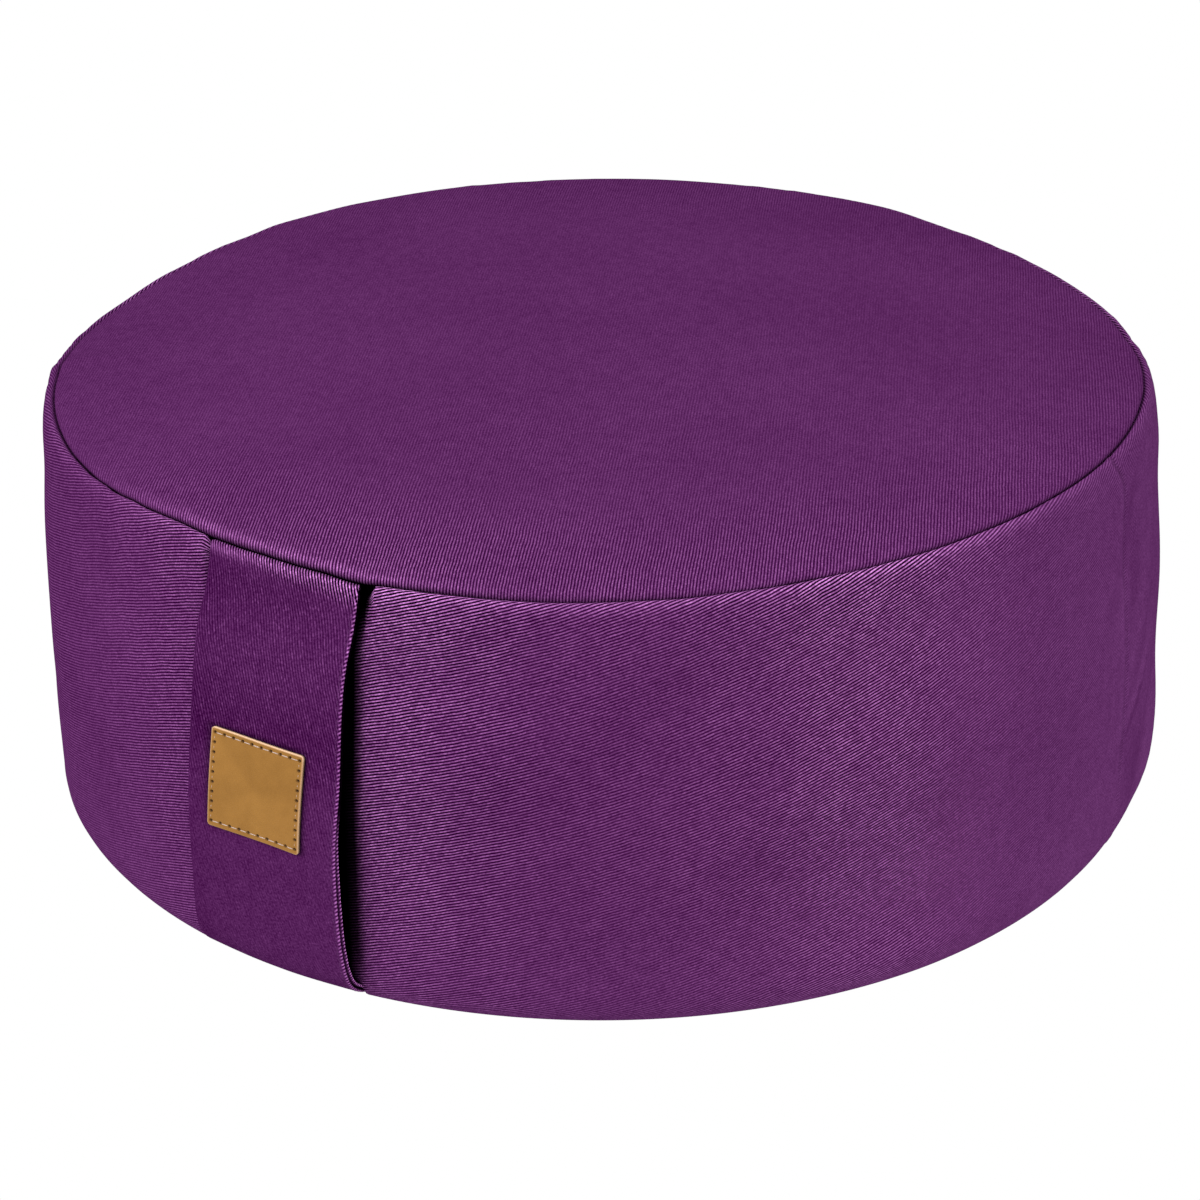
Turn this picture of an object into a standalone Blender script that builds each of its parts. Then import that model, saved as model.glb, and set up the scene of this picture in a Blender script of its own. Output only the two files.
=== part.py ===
"""Zafu meditation cushion: a firm round drum of twill with a carry strap and a leather patch.

Metres, +Z up. The origin is the centre of the flat underside, and the strap faces -Y.
Azimuths are degrees round +Z from the strap, growing towards +X.
"""

import math
from collections import namedtuple

import bmesh
import bpy
from mathutils import Matrix, Vector

MM = 0.001
CLEARANCE = 0.4 * MM
MERGE_DISTANCE = 0.001 * MM
SHARP_FROM = math.radians(40)

# The drum: a top disc and a bottom disc sewn to an upright band, filled firm.
SEAM_HEIGHT = 154 * MM
SEAM_RADIUS = 190.4 * MM
DRUM_COLUMNS = 72

# The strap: a flat tape folded from the same twill, caught in both seams.
STRAP_THICKNESS = 3.0 * MM
STRAP_COLUMNS = 6
STRAP_STEP = 6 * MM
# Towards both ends the strap bends round with the seams, over this length.
STRAP_ROUND_END = 40 * MM
# At the lower rim all of the drum that lies outside the strap is taken away, this far out,
# growing between these shares of the strap's length.
LOWER_RIM = 8 * MM
LOWER_RIM_FROM = 1 / 2
LOWER_RIM_FULL = 3 / 4

# The patch: a square of leather sewn to the strap.
PATCH_SIDE = 35 * MM
PATCH_THICKNESS = 1.6 * MM
PATCH_CORNER = 1.8 * MM
PATCH_FROM_TOP_SEAM = 61.6 * MM
PATCH_SHIFT = -2.6 * MM
PATCH_TURN = math.radians(1.2)
PATCH_CELLS = 9
PATCH_CORNER_STEPS = 3

# Half section of the drum, millimetres: from the crown out to the upper seam ...
Section = namedtuple("Section", "radius height")
TOP_DISC = (
    Section(0, 159.8),
    Section(70, 159.6),
    Section(130, 158.9),
    Section(165, 157.9),
    Section(181, 156.8),
    Section(187, 155.8),
    Section(189.5, 154.8),
    Section(190.4, 153.0),
)
# ... down the band, which rolls in at both ends ...
BAND = (
    Section(190.4, 153.0),
    Section(191.3, 154.2),
    Section(193.3, 153.3),
    Section(195.2, 149.2),
    Section(195.9, 143),
    Section(196.3, 128),
    Section(198.2, 106),
    Section(200, 80),
    Section(200, 54),
    Section(199.6, 30),
    Section(198.8, 14),
    Section(196.6, 7.2),
    Section(193, 3.4),
    Section(190, 2.6),
    Section(188.6, 4.4),
)
# ... and in from the lower seam to the flat underside.
BOTTOM_DISC = (
    Section(188.6, 4.4),
    Section(187.4, 1.8),
    Section(184, 0),
    Section(90, 0),
    Section(0, 0),
)
TOP_STEPS = 2
BAND_STEPS = 2

# The top sits a little to one side of the underside.
LEAN = Vector((-0.4, -0.2, 0)) * MM

# How the unevenness dies out: inwards from the rim, and over these shares of the height at
# the band's foot and head. The seam's lift grows faster than the height.
SWELL_INWARD_POWER = 6
SWELL_FOOT = 1 / 8
SWELL_HEAD = 1 / 6
LIFT_INWARD_POWER = 2
LIFT_RISE_POWER = 1.5

# How far the upper seam stands above or below its mean height, as the filling has settled.
SeamLift = namedtuple("SeamLift", "azimuth lift_mm")
SEAM_LIFTS = (
    SeamLift(-60, -3.8),
    SeamLift(-41, -3.0),
    SeamLift(-31, -2.2),
    SeamLift(-25, -0.9),
    SeamLift(-20, 0.4),
    SeamLift(-13, 1.2),
    SeamLift(-9, 0.2),
    SeamLift(-3, 0.1),
    SeamLift(4, -0.4),
    SeamLift(8, -1.9),
    SeamLift(11, -0.7),
    SeamLift(16, -0.7),
    SeamLift(25, -0.6),
    SeamLift(38, -0.1),
    SeamLift(45, 0.9),
    SeamLift(54, 2.2),
    SeamLift(62, 2.8),
    SeamLift(72, 2.8),
    SeamLift(82, 3.2),
    SeamLift(92, 2.9),
    SeamLift(106, 1.8),
    SeamLift(124, 0.1),
    SeamLift(146, -0.6),
    SeamLift(166, 0.6),
    SeamLift(188, 0.9),
    SeamLift(212, -0.3),
    SeamLift(236, -0.3),
    SeamLift(256, -2.2),
    SeamLift(272, -3.9),
    SeamLift(284, -4.8),
)

# Soft swells and hollows of the filled band: where, how wide, and how far out.
Swell = namedtuple("Swell", "azimuth height_mm half_angle half_height_mm out_mm")
SWELLS = (
    Swell(-50, 105, 13, 34, -1.3),
    Swell(-52, 20, 14, 20, -0.9),
    Swell(-30, 60, 14, 40, 0.9),
    Swell(26, 110, 12, 30, 0.9),
    Swell(48, 46, 15, 32, -0.9),
    Swell(70, 100, 11, 30, 0.8),
    Swell(97, 62, 6, 24, -1.3),
    Swell(112, 24, 16, 26, 2.0),
    Swell(118, 96, 12, 34, 0.8),
    Swell(150, 50, 15, 36, -1.2),
    Swell(182, 100, 16, 34, 1.3),
    Swell(214, 70, 13, 38, -1.2),
    Swell(246, 90, 14, 34, 1.1),
    Swell(280, 60, 15, 36, -0.9),
)
# Behind the strap, whose sewn ends draw the band in.
STRAP_HOLLOW = Swell(0, 105, 10, 62, -2.6)

# Outer face of the strap along its middle, millimetres, from the upper seam to the lower one.
StrapRow = namedtuple("StrapRow", "out height left right")
STRAP = (
    StrapRow(188.4, 153.2, 29.0, 27.9),
    StrapRow(190.6, 153.9, 29.0, 27.9),
    StrapRow(193.0, 151.8, 29.0, 27.8),
    StrapRow(194.4, 146.6, 29.1, 27.4),
    StrapRow(196.2, 139, 29.4, 26.6),
    StrapRow(199.5, 127, 30.2, 26.1),
    StrapRow(203.1, 109, 30.4, 26.5),
    StrapRow(206.5, 88, 30.2, 26.9),
    StrapRow(208.7, 69, 30.1, 27.1),
    StrapRow(209.6, 50, 29.8, 27.5),
    StrapRow(209.1, 33, 30.0, 27.7),
    StrapRow(207.2, 20, 31.1, 26.9),
    StrapRow(203.4, 12.4, 31.8, 26.1),
    StrapRow(197.0, 7.0, 32.0, 25.6),
    StrapRow(190.2, 4.0, 32.0, 25.6),
)
STRAP_PATH_STEPS = 12


def blend_curve(before, start, end, after, share):
    """A point on the smooth curve from start to end, led by the points on either side."""
    return tuple(
        0.5 * (
            2 * b
            + (c - a) * share
            + (2 * a - 5 * b + 4 * c - d) * share ** 2
            + (3 * b - a - 3 * c + d) * share ** 3
        )
        for a, b, c, d in zip(before, start, end, after)
    )


def smooth_path(rows, steps):
    """Points on a smooth curve through the rows, with this many steps between two rows."""
    path = []
    last = len(rows) - 1
    for index in range(last):
        before = rows[max(index - 1, 0)]
        after = rows[min(index + 2, last)]
        for step in range(steps):
            path.append(blend_curve(before, rows[index], rows[index + 1], after, step / steps))
    path.append(tuple(rows[last]))
    return path


def ease(share):
    """0 to 1 with a level start and end."""
    share = min(max(share, 0.0), 1.0)
    return share * share * (3 - 2 * share)


def seam_lift(azimuth):
    """Height of the upper seam above its mean at this azimuth, in metres."""
    first = SEAM_LIFTS[0]
    turned = (azimuth - first.azimuth) % 360 + first.azimuth
    rows = SEAM_LIFTS + (SeamLift(first.azimuth + 360, first.lift_mm),)
    for low, high in zip(rows, rows[1:]):
        if turned <= high.azimuth:
            share = ease((turned - low.azimuth) / (high.azimuth - low.azimuth))
            return (low.lift_mm + (high.lift_mm - low.lift_mm) * share) * MM
    return first.lift_mm * MM


def swell_out(swells, azimuth, height):
    """How far the band stands out of its even section here, in metres."""
    out = 0.0
    for swell in swells:
        turn = (azimuth - swell.azimuth + 180) % 360 - 180
        across = turn / swell.half_angle
        up = (height / MM - swell.height_mm) / swell.half_height_mm
        out += swell.out_mm * math.exp(-across * across - up * up)
    return out * MM


def settle(bm, swells=SWELLS):
    """Moves every vertex from the even shape to the settled one. The underside stays level."""
    for vert in bm.verts:
        x, y, z = vert.co
        radius = math.hypot(x, y)
        if radius == 0 or z == 0:
            continue
        azimuth = math.degrees(math.atan2(x, -y))
        rise = max(z, 0) / SEAM_HEIGHT
        rim = min(radius / SEAM_RADIUS, 1)
        swelling = ease(rise / SWELL_FOOT) * ease((1 - rise) / SWELL_HEAD)
        out = swell_out(swells, azimuth, z) * rim ** SWELL_INWARD_POWER * swelling
        lift = seam_lift(azimuth) * rise ** LIFT_RISE_POWER * rim ** LIFT_INWARD_POWER
        settled = Vector((x, y, 0)) * (1 + out / radius) + LEAN * rise
        settled.z = z + lift
        vert.co = settled


def simple_material(name, colour, roughness):
    material = bpy.data.materials.new(name)
    material.use_nodes = True
    shader = material.node_tree.nodes["Principled BSDF"]
    shader.inputs["Base Color"].default_value = (*colour, 1)
    shader.inputs["Roughness"].default_value = roughness
    shader.inputs["Metallic"].default_value = 0
    material.diffuse_color = (*colour, 1)
    return material


def finished_object(name, bm, material=None):
    """Closes the bmesh into a named object with smooth faces and its material."""
    bmesh.ops.remove_doubles(bm, verts=bm.verts, dist=MERGE_DISTANCE)
    bmesh.ops.recalc_face_normals(bm, faces=bm.faces)
    mesh = bpy.data.meshes.new(name)
    bm.to_mesh(mesh)
    bm.free()
    mesh.shade_smooth()
    mesh.set_sharp_from_angle(angle=SHARP_FROM)
    obj = bpy.data.objects.new(name, mesh)
    bpy.context.scene.collection.objects.link(obj)
    if material:
        mesh.materials.append(material)
    return obj


def drum(material):
    """The filled drum: its half section spun round the upright axis, then settled."""
    section = smooth_path(TOP_DISC, TOP_STEPS) + smooth_path(BAND, BAND_STEPS)[1:] + list(BOTTOM_DISC)[1:]
    bm = bmesh.new()
    verts = [bm.verts.new((0, -radius * MM, height * MM)) for radius, height in section]
    edges = [bm.edges.new(pair) for pair in zip(verts, verts[1:])]
    bmesh.ops.spin(
        bm, geom=verts + edges, cent=(0, 0, 0), axis=(0, 0, 1),
        angle=math.tau, steps=DRUM_COLUMNS, use_merge=True,
    )
    bmesh.ops.remove_doubles(bm, verts=bm.verts, dist=MERGE_DISTANCE)
    settle(bm, SWELLS + (STRAP_HOLLOW,))
    return finished_object("cushion", bm, material)


class StrapPath:
    """The strap's outer face: a place on it from a distance along and a distance across."""

    def __init__(self):
        rows = smooth_path(STRAP, STRAP_PATH_STEPS)
        self.points = [Vector((out * MM, height * MM)) for out, height, _, _ in rows]
        self.edges = [Vector((-left * MM, right * MM)) for _, _, left, right in rows]
        self.distances = [0.0]
        for start, end in zip(self.points, self.points[1:]):
            self.distances.append(self.distances[-1] + (end - start).length)
        self.length = self.distances[-1]

    def place(self, along):
        """(point, direction, left and right edge) of the section at this distance along."""
        last = len(self.points) - 2
        index = next((i for i in range(last) if self.distances[i + 1] >= along), last)
        start = self.points[index]
        step = self.points[index + 1] - start
        share = (along - self.distances[index]) / step.length
        edges = self.edges[index].lerp(self.edges[index + 1], share)
        return start + step * share, step.normalized(), edges

    def bend(self, across, along, outward):
        """World place of a point of the flat tape. Its ends follow the round seams."""
        point, direction, _ = self.place(along)
        normal = Vector((-direction.y, direction.x))
        end_share = 1 - ease(min(along, self.length - along) / STRAP_ROUND_END)
        round_in = (SEAM_RADIUS - math.sqrt(SEAM_RADIUS ** 2 - across ** 2)) * end_share
        point = point + normal * outward
        return Vector((across, -(point.x - round_in), point.y))


def tape(path, grow, outward_growth):
    """A flat tape of the strap's outline, bent along its path.

    grow widens it on every side, and outward_growth(share along) thickens its outer side.
    """
    rows = max(2, round(path.length / STRAP_STEP))
    bm = bmesh.new()
    bmesh.ops.create_grid(bm, x_segments=STRAP_COLUMNS, y_segments=rows, size=0.5)
    top = bmesh.ops.extrude_face_region(bm, geom=list(bm.faces))
    bmesh.ops.translate(
        bm, vec=(0, 0, 1), verts=[v for v in top["geom"] if isinstance(v, bmesh.types.BMVert)]
    )
    for vert in bm.verts:
        share = 0.5 - vert.co.y
        along = -grow + share * (path.length + 2 * grow)
        left, right = path.place(along)[2]
        across = left - grow + (vert.co.x + 0.5) * (right - left + 2 * grow)
        outer = vert.co.z > 0.5
        outward = outward_growth(share) if outer else -STRAP_THICKNESS - grow
        vert.co = path.bend(across, along, outward)
    settle(bm)
    return bm


def strap(path, material):
    return finished_object("carry_strap", tape(path, 0, lambda share: 0), material)


def strap_room(path):
    """The room that the strap takes in the drum: a slit at the upper seam, and at the lower
    rim all that lies outside the strap."""
    def growth(share):
        lowered = (share - LOWER_RIM_FROM) / (LOWER_RIM_FULL - LOWER_RIM_FROM)
        return CLEARANCE + LOWER_RIM * ease(lowered)

    room = finished_object("strap_room", tape(path, CLEARANCE, growth))
    room.hide_render = True
    room.display_type = "WIRE"
    return room


def patch(path, material):
    """The leather patch: a square with rounded corners, bent on to the strap."""
    bm = bmesh.new()
    bmesh.ops.create_grid(
        bm, x_segments=PATCH_CELLS, y_segments=PATCH_CELLS, size=PATCH_SIDE / 2,
    )
    corners = [vert for vert in bm.verts if len(vert.link_faces) == 1]
    bmesh.ops.bevel(
        bm, geom=corners, offset=PATCH_CORNER, segments=PATCH_CORNER_STEPS, profile=0.5,
        affect="VERTICES", material=-1,
    )
    top = bmesh.ops.extrude_face_region(bm, geom=list(bm.faces))
    bmesh.ops.translate(
        bm,
        vec=(0, 0, PATCH_THICKNESS),
        verts=[v for v in top["geom"] if isinstance(v, bmesh.types.BMVert)],
    )
    bmesh.ops.rotate(bm, matrix=Matrix.Rotation(-PATCH_TURN, 3, "Z"), verts=bm.verts)
    for vert in bm.verts:
        along = PATCH_FROM_TOP_SEAM + PATCH_SIDE / 2 - vert.co.y
        vert.co = path.bend(vert.co.x + PATCH_SHIFT, along, vert.co.z + CLEARANCE)
    settle(bm)
    return finished_object("leather_patch", bm, material)


for old in list(bpy.data.objects):
    bpy.data.objects.remove(old, do_unlink=True)

twill = simple_material("purple_twill", (0.125, 0.03, 0.135), 0.85)
tape_twill = simple_material("purple_tape", (0.09, 0.016, 0.1), 0.85)
tan_leather = simple_material("tan_leather", (0.42, 0.21, 0.06), 0.6)

strap_path = StrapPath()
cushion = drum(twill)
strap(strap_path, tape_twill)
patch(strap_path, tan_leather)

pocket = cushion.modifiers.new("strap pocket", "BOOLEAN")
pocket.operation = "DIFFERENCE"
pocket.solver = "EXACT"
pocket.object = strap_room(strap_path)
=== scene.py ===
"""Looks of the round meditation cushion: twill drum, carry strap and sewn-on leather patch.

Metres, +Z up, origin at the centre of the underside, strap towards -Y. Azimuths are degrees
round +Z from the strap, growing towards +X.
"""

import math
from collections import namedtuple

import bmesh
import bpy
from mathutils import Matrix, Vector, noise


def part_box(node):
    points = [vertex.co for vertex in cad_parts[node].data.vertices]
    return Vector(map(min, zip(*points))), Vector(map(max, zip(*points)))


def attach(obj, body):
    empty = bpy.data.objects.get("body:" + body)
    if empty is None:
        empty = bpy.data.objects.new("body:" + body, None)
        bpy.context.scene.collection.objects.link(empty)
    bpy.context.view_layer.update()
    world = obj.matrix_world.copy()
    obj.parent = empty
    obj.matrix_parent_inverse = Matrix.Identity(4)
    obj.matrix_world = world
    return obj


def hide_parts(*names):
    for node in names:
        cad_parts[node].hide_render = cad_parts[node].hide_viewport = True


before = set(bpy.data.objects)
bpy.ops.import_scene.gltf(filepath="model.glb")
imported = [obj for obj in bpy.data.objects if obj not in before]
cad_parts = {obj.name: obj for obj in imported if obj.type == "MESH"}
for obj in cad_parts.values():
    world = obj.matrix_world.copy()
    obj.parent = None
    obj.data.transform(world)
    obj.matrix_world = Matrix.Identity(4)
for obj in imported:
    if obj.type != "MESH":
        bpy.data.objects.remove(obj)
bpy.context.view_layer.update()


# ---- Camera ----------------------------------------------------------------------------------
# A long lens, above the cushion and to the right of its strap, at the photograph's angle.
CAMERA_AT = Vector((0.6044, -1.0058, 0.6395))
CAMERA_LOOK = Vector((-0.4618, 0.7686, -0.4428))
LENS_MM = 107.44
SENSOR_MM = 36

camera = bpy.data.objects.new("camera", bpy.data.cameras.new("camera"))
camera.data.lens = LENS_MM
camera.data.sensor_width = SENSOR_MM
camera.location = CAMERA_AT
camera.rotation_euler = CAMERA_LOOK.to_track_quat("-Z", "Y").to_euler()
bpy.context.scene.collection.objects.link(camera)
bpy.context.scene.camera = camera


# ---- Cushion ---------------------------------------------------------------------------------
# A top and a bottom disc of heavy cotton twill, sewn to an upright band and filled hard with
# hulls. The seams sink into narrow furrows, and the band's two ends meet in an upright seam.
MM = 0.001
SEAM_HEIGHT = 154 * MM
SEAM_RADIUS = 190.4 * MM
BAND_RADIUS = 198 * MM
COLUMNS = 480
ROW_SPACING = 3.2 * MM
SIDE_SEAM = 94.9

# How far the top has leant over from the foot.
LEAN = Vector((-0.4, -0.2, 0)) * MM


def table(kind, *rows):
    """Rows of values, with the columns named by their kind."""
    return tuple(kind(*row) for row in rows)


# Sections in millimetres, from the middle of the top down to the middle of the underside.
Section = namedtuple("Section", "radius height")
TOP_DISC = table(
    Section,
    (0, 159.8),
    (70, 159.6),
    (130, 158.9),
    (165, 157.9),
    (180, 156.9),
    (185.8, 156.2),
    (188.7, 155.6),
    (190.3, 154.8),
    (190.9, 153.8),
    (190.4, 153.0),
    (189.0, 152.4),
)
BAND = table(
    Section,
    (189.0, 152.4),
    (190.4, 152.4),
    (191.3, 153.1),
    (192.1, 154.0),
    (193.3, 153.9),
    (194.4, 152.0),
    (195.2, 148.5),
    (195.8, 143),
    (196.3, 128),
    (198.2, 106),
    (200, 80),
    (200, 54),
    (199.6, 30),
    (198.8, 14),
    (196.6, 7.2),
    (193.4, 3.6),
    (190.6, 3.0),
    (188.4, 4.2),
    (186.4, 5.4),
)
BOTTOM_DISC = table(
    Section,
    (186.4, 5.4),
    (187.6, 3.4),
    (187.2, 1.4),
    (184.4, 0.2),
    (180, 0),
    (130, 0),
    (60, 0),
    (0, 0),
)

# Round the upper seam: how far it stands above or below its mean height, how dark the painted
# shade in its furrow is and how far that reaches over the disc's rim, and how strong the painted
# highlight on the band's stretched edge is.
SeamRow = namedtuple("SeamRow", "azimuth lift_mm dark dark_mm light")
SEAM = table(
    SeamRow,
    (-66, -5.0, 0.25, 1.6, 0.2),
    (-60, -3.8, 0.25, 1.6, 0.2),
    (-48, -3.1, 0.22, 1.6, 0.3),
    (-38, -2.8, 0.30, 2.0, 0.4),
    (-31, -2.0, 0.66, 2.0, 0.3),
    (-25, -0.9, 0.80, 2.2, 0.3),
    (-20, 0.6, 0.85, 2.4, 0.4),
    (-13, 1.8, 0.92, 2.8, 0.4),
    (-9, 1.3, 0.98, 3.2, 0.5),
    (-3, 1.2, 1.0, 3.6, 0.3),
    (4, 0.5, 1.0, 3.6, 0.3),
    (8, -0.6, 1.0, 3.4, 0.2),
    (11, -0.3, 0.97, 3.4, 0.4),
    (16, -0.3, 0.92, 3.8, 0.6),
    (25, -0.4, 0.52, 4.6, 0.8),
    (38, 0.4, 0.42, 4.6, 0.8),
    (45, 1.3, 0.16, 4.6, 0.7),
    (54, 2.2, 0.04, 4.2, 0.6),
    (62, 2.8, 0.24, 3.6, 0.7),
    (72, 3.5, 0.36, 3.2, 0.7),
    (82, 3.9, 0.20, 3.2, 0.4),
    (92, 3.8, 0.20, 3.0, 0.2),
    (106, 3.8, 0.22, 2.4, 0.2),
    (116, 2.0, 0.30, 2.0, 0.2),
    (129, -0.6, 0.50, 1.8, 0.3),
    (146, -1.4, 0.70, 2.2, 0.4),
    (158, -1.3, 0.75, 2.4, 0.4),
    (166, -0.9, 0.75, 2.4, 0.4),
    (176, 0.6, 0.65, 2.4, 0.5),
    (200, -0.1, 0.80, 2.0, 0.4),
    (226, -0.9, 0.60, 2.4, 0.4),
    (240, -1.7, 0.75, 2.0, 0.4),
    (250, -2.6, 0.65, 2.0, 0.3),
    (258, -4.2, 0.45, 1.8, 0.3),
    (268, -5.9, 0.35, 1.6, 0.2),
    (278, -7.2, 0.25, 1.6, 0.2),
    (286, -6.6, 0.25, 1.6, 0.2),
)

# How plainly the twill lines show on the band and at the rim of the top, where they are
# stretched and where their light crests, partly painted highlight, catch the light; and how much
# lighter or darker the band is painted, as painted light and shade.
TwillRow = namedtuple("TwillRow", "azimuth band rim tint")
TWILL_SHOWS = table(
    TwillRow,
    (-60, 0.20, 0.05, 0.00),
    (-36, 0.30, 0.06, 0.00),
    (-27, 0.26, 0.12, 0.00),
    (-20, 0.38, 0.22, 0.01),
    (-13, 0.60, 0.32, 0.01),
    (6, 0.98, 0.42, 0.00),
    (13, 0.88, 0.44, 0.01),
    (20, 0.66, 0.43, 0.00),
    (28, 0.41, 0.40, 0.00),
    (36, 0.36, 0.38, 0.00),
    (44, 0.50, 0.36, 0.01),
    (53, 0.80, 0.36, 0.03),
    (60, 0.76, 0.34, 0.04),
    (68, 0.42, 0.28, 0.05),
    (76, 0.26, 0.24, 0.04),
    (84, 0.18, 0.18, 0.04),
    (92, 0.14, 0.13, 0.04),
    (112, 0.22, 0.12, 0.03),
    (140, 0.55, 0.10, 0.01),
    (170, 0.30, 0.08, -0.01),
    (205, 0.60, 0.12, 0.01),
    (240, 0.35, 0.10, 0.00),
    (270, 0.50, 0.06, 0.01),
)

# Broad swells and hollows of the filled band: where, how wide and high, how far out or in.
Swell = namedtuple("Swell", "azimuth height_mm half_angle half_height_mm out_mm")
SWELLS = table(
    Swell,
    (-57, 30, 15, 44, -3.2),
    (-57, 80, 14, 24, -2.7),
    (-68, 142, 10, 14, -1.6),
    (-30, 60, 14, 40, 0.9),
    (26, 110, 12, 30, 0.9),
    (48, 46, 15, 32, -0.9),
    (62, 8, 8, 14, 2.8),
    (70, 100, 11, 30, 0.8),
    (114, 26, 16, 30, 3.0),
    (119, 92, 12, 34, 1.7),
    (120, 136, 12, 16, 1.8),
    (150, 50, 15, 36, -1.2),
    (182, 100, 16, 34, 1.3),
    (214, 70, 13, 38, -1.2),
    (246, 90, 14, 34, 1.1),
    (280, 60, 15, 36, -0.9),
)
STRAP_HOLLOW = Swell(0, 105, 10, 62, -2.6)

# Soft creases of the band: where, how long and wide, how steep, and how far out or in.
Crease = namedtuple("Crease", "azimuth height_mm length_mm half_width_mm slope out_mm")
CREASES = table(
    Crease,
    (16, 128, 60, 8, 24, -0.35),
    (20, 100, 80, 11, 30, 0.4),
    (27, 84, 90, 12, 26, -0.35),
    (40, 60, 100, 14, 22, 0.3),
    (38, 118, 80, 12, 18, -0.3),
    (58, 96, 90, 13, 28, 0.35),
    (64, 60, 70, 11, 34, -0.3),
    (-22, 118, 50, 9, -24, -0.35),
    (-36, 84, 80, 12, -18, 0.35),
    (-48, 60, 70, 11, -26, -0.35),
    (96, 118, 60, 6, 62, -0.8),
    (100, 84, 70, 7, 58, 0.7),
    (99, 60, 36, 3.0, 32, 0.8),
    (105, 40, 50, 7, 55, -0.7),
    (110, 24, 60, 8, 40, 0.6),
    (132, 96, 80, 12, 30, -0.5),
    (160, 70, 90, 13, -24, 0.5),
    (186, 110, 80, 10, 20, -0.5),
    (206, 50, 90, 12, -30, 0.5),
    (232, 90, 80, 11, 26, -0.5),
    (262, 70, 90, 13, -22, 0.5),
    (290, 110, 70, 10, 24, -0.4),
)
CREASE_LIGHT = 0.35

# Columns of the mesh are drawn together at the side seam and at the strap's two edges.
FINE_COLUMNS_AT = (SIDE_SEAM, 8.9, -8.5)
FINE_COLUMNS_HALF_ANGLE = 1.5
FINE_COLUMNS_PULL = 0.75


def blend_curve(before, start, end, after, share):
    """A point on the smooth curve from start to end, led by the points on either side."""
    return tuple(
        0.5 * (
            2 * b
            + (c - a) * share
            + (2 * a - 5 * b + 4 * c - d) * share ** 2
            + (3 * b - a - 3 * c + d) * share ** 3
        )
        for a, b, c, d in zip(before, start, end, after)
    )


def smooth_path(rows, spacing, least=2):
    """Points about this far apart on a smooth curve through rows of millimetres."""
    path = []
    last = len(rows) - 1
    for index in range(last):
        before = rows[max(index - 1, 0)]
        start = rows[index]
        end = rows[index + 1]
        after = rows[min(index + 2, last)]
        steps = max(least, round(math.dist(start[:2], end[:2]) * MM / spacing))
        for step in range(steps):
            path.append(blend_curve(before, start, end, after, step / steps))
    path.append(tuple(rows[last]))
    return path


def ease(share):
    """0 to 1 with a level start and end."""
    share = min(max(share, 0.0), 1.0)
    return share * share * (3 - 2 * share)


def hump(distance, half_width):
    """A soft hump, 1 in its middle."""
    return math.exp(-(distance / half_width) ** 2)


def turn_from(azimuth, start):
    """The turn from start to azimuth, from -180 to 180 degrees."""
    return (azimuth - start + 180) % 360 - 180


def azimuth_of(point):
    return math.degrees(math.atan2(point.x, -point.y))


class Round:
    """Rows of values by azimuth, eased from row to row right round the cushion."""

    def __init__(self, *rows):
        first = rows[0]
        self.rows = (*rows, first._replace(azimuth=first.azimuth + 360))
        self.known = {}

    def at(self, azimuth):
        """What the rows' other columns come to at this azimuth."""
        start = self.rows[0].azimuth
        turned = round((azimuth - start) % 360 + start, 1)
        if turned not in self.known:
            low, high = next(
                pair for pair in zip(self.rows, self.rows[1:]) if turned <= pair[1].azimuth
            )
            share = ease((turned - low.azimuth) / (high.azimuth - low.azimuth))
            self.known[turned] = [a + (b - a) * share for a, b in zip(low[1:], high[1:])]
        return self.known[turned]


seam = Round(*SEAM)
twill_shows = Round(*TWILL_SHOWS)


def swell_out(swells, azimuth, height):
    """How far the band stands out of its even section here."""
    out = 0.0
    for swell in swells:
        across = turn_from(azimuth, swell.azimuth) / swell.half_angle
        up = (height / MM - swell.height_mm) / swell.half_height_mm
        out += swell.out_mm * math.exp(-across * across - up * up)
    return out * MM


def crease_out(azimuth, height):
    """How far the creases push the band out or in here."""
    out = 0.0
    for crease in CREASES:
        across = math.radians(turn_from(azimuth, crease.azimuth)) * BAND_RADIUS / MM
        up = height / MM - crease.height_mm
        slope = math.radians(crease.slope)
        along = across * math.cos(slope) + up * math.sin(slope)
        aside = up * math.cos(slope) - across * math.sin(slope)
        if abs(along) < crease.length_mm and abs(aside) < crease.half_width_mm * 3:
            out += crease.out_mm * hump(aside, crease.half_width_mm) * hump(
                along, crease.length_mm / 2
            )
    return out * MM


def painted_crease_light(azimuth, height):
    """Painted light and shade on the creases: lighter on sides that face up, darker facing down.
    """
    step = 2 * MM
    above = crease_out(azimuth, height + step)
    below = crease_out(azimuth, height - step)
    return CREASE_LIGHT * (below - above) / (2 * step)


def settle_point(point, swells=SWELLS, creased=False):
    """The even shape's point, moved to where the filled cloth has settled.

    The moves fade towards the two seams, and quickly from the rim over the discs.
    """
    radius = math.hypot(point.x, point.y)
    if radius == 0 or point.z == 0:
        return point.copy()
    azimuth = azimuth_of(point)
    rise = max(point.z, 0) / SEAM_HEIGHT
    rim = min(radius / SEAM_RADIUS, 1)
    ends = ease(rise * 8) * ease((1 - rise) * 6)
    out = swell_out(swells, azimuth, point.z) * rim ** 6 * ends
    if creased:
        out += crease_out(azimuth, point.z) * rim ** 6 * ends
    settled = Vector((point.x, point.y, 0)) * (1 + out / radius) + LEAN * rise
    lift = seam.at(azimuth)[0] * MM
    settled.z = point.z + lift * rise ** 1.5 * rim ** 2
    return settled


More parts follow.
